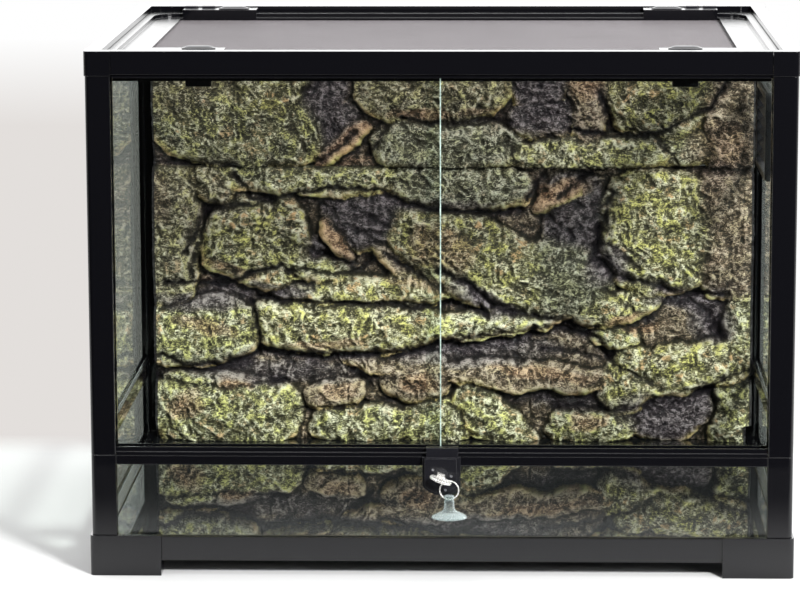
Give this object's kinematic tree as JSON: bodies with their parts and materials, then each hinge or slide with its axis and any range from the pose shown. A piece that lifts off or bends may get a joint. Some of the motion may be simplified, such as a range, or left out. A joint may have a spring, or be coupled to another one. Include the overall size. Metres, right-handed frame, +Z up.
{
  "type": "reptile terrarium",
  "caption": "Front-opening glass reptile terrarium with black frame, sliding doors, key lock, latched screen lid and mossy rock background.",
  "frame": {"origin": "on the floor under the middle of the whole outline, the hanging key and cup included; the tank's own middle is 19.1 mm behind it", "axes": "+X to the right seen from the front, +Y to the back, +Z up; the doors face -Y"},
  "size_m": [0.6036, 0.4918, 0.4538],
  "materials": {
    "frame_black": "glossy black moulded plastic",
    "pane_glass": "clear float glass, 3 mm",
    "floor_pane": "glass backed in black",
    "door_glass": "clear float glass, 4 mm, polished edges",
    "screen_wire": "fine woven wire, dark grey",
    "rock_foam": "painted moulded foam, mossy green and brown",
    "latch_black": "glossy black moulded plastic",
    "lock_black": "glossy black moulded plastic",
    "lock_metal": "dull zinc-plated metal",
    "key_metal": "nickel-plated brass",
    "ring_wire": "nickel-plated wire",
    "clear_vinyl": "clear soft vinyl"
  },
  "bodies": {
    "tank": {"foot_front_left": "frame_black", "foot_front_right": "frame_black", "foot_rear_left": "frame_black", "foot_rear_right": "frame_black", "bottom_rail_front": "frame_black", "bottom_rail_rear": "frame_black", "bottom_rail_left": "frame_black", "bottom_rail_right": "frame_black", "lower_post_front_left": "frame_black", "lower_post_front_right": "frame_black", "lower_post_rear_left": "frame_black", "lower_post_rear_right": "frame_black", "floor_glass": "floor_pane", "base_glass_front": "pane_glass", "base_glass_rear": "pane_glass", "base_glass_left": "pane_glass", "base_glass_right": "pane_glass", "base_rim_front": "frame_black", "base_rim_rear": "frame_black", "base_rim_left": "frame_black", "base_rim_right": "frame_black", "upper_post_front_left": "frame_black", "upper_post_front_right": "frame_black", "upper_post_rear_left": "frame_black", "upper_post_rear_right": "frame_black", "sill_front": "frame_black", "sill_rear": "frame_black", "sill_left": "frame_black", "sill_right": "frame_black", "side_glass_left": "pane_glass", "side_glass_right": "pane_glass", "back_glass": "pane_glass", "side_vent": "frame_black", "corner_cap_front_left": "frame_black", "corner_cap_front_right": "frame_black", "corner_cap_rear_left": "frame_black", "corner_cap_rear_right": "frame_black", "top_rail_front": "frame_black", "top_rail_rear": "frame_black", "top_rail_left": "frame_black", "top_rail_right": "frame_black", "rock_panel_upper": "rock_foam", "rock_panel_lower": "rock_foam", "lock_body": "lock_black", "lock_screws": "lock_metal"},
    "door_left": {"door_left": "door_glass"},
    "door_right": {"door_right": "door_glass"},
    "lid": {"lid_frame": "frame_black", "lid_screen": "screen_wire"},
    "lid_latch_front_left": {"lid_latch_front_left": "latch_black"},
    "lid_latch_front_right": {"lid_latch_front_right": "latch_black"},
    "lid_latch_rear_left": {"lid_latch_rear_left": "latch_black"},
    "lid_latch_rear_right": {"lid_latch_rear_right": "latch_black"},
    "port_slide_left": {"port_slide_left": "latch_black"},
    "port_slide_right": {"port_slide_right": "latch_black"},
    "lock_cylinder": {"lock_cylinder": "lock_metal"},
    "lock_bolt": {"lock_bolt": "lock_metal"},
    "key": {"key": "key_metal"},
    "key_ring": {"key_ring": "ring_wire"},
    "suction_cup": {"suction_cup": "clear_vinyl"}
  },
  "joints": [
    {"name": "door_left_slide", "type": "slide", "parent": "tank", "child": "door_left", "axis": [1, 0, 0], "range_m": [0, 0.28]},
    {"name": "door_right_slide", "type": "slide", "parent": "tank", "child": "door_right", "axis": [-1, 0, 0], "range_m": [0, 0.27]},
    {"name": "lid_lift", "type": "slide", "parent": "tank", "child": "lid", "axis": [0, 0, 1], "range_m": [0, 0.12]},
    {"name": "latch_front_left", "type": "slide", "parent": "lid", "child": "lid_latch_front_left", "axis": [0, -1, 0], "range_m": [0, 0.008]},
    {"name": "latch_front_right", "type": "slide", "parent": "lid", "child": "lid_latch_front_right", "axis": [0, -1, 0], "range_m": [0, 0.008]},
    {"name": "latch_rear_left", "type": "slide", "parent": "lid", "child": "lid_latch_rear_left", "axis": [0, 1, 0], "range_m": [0, 0.008]},
    {"name": "latch_rear_right", "type": "slide", "parent": "lid", "child": "lid_latch_rear_right", "axis": [0, 1, 0], "range_m": [0, 0.008]},
    {"name": "port_left", "type": "slide", "parent": "lid", "child": "port_slide_left", "axis": [-1, 0, 0], "range_m": [0, 0.02]},
    {"name": "port_right", "type": "slide", "parent": "lid", "child": "port_slide_right", "axis": [1, 0, 0], "range_m": [0, 0.02]},
    {"name": "cylinder_turn", "type": "hinge", "parent": "tank", "child": "lock_cylinder", "pos_m": [0.0002, -0.2129, 0.092], "axis": [0, -1, 0], "range_deg": [-90, 0]},
    {"name": "bolt_lift", "type": "slide", "parent": "tank", "child": "lock_bolt", "axis": [0, 0, -1], "range_m": [-0.003, 0]},
    {"name": "key_pull", "type": "slide", "parent": "lock_cylinder", "child": "key", "axis": [0, -1, 0], "range_m": [0, 0.022]},
    {"name": "ring_hang", "type": "hinge", "parent": "key", "child": "key_ring", "pos_m": [0.0043, -0.2309, 0.0888], "axis": [0, 1, 0], "range_deg": [-90, 0]},
    {"name": "cup_swing", "type": "hinge", "parent": "key_ring", "child": "suction_cup", "pos_m": [0.0074, -0.2309, 0.0736], "axis": [1, 0, 0], "range_deg": [-25, 25]}
  ],
  "couplings": [
    {"joint": "bolt_lift", "follows": "cylinder_turn", "m_per_rad": 0.0019},
    {"joint": "ring_hang", "follows": "cylinder_turn", "ratio": 1}
  ]
}
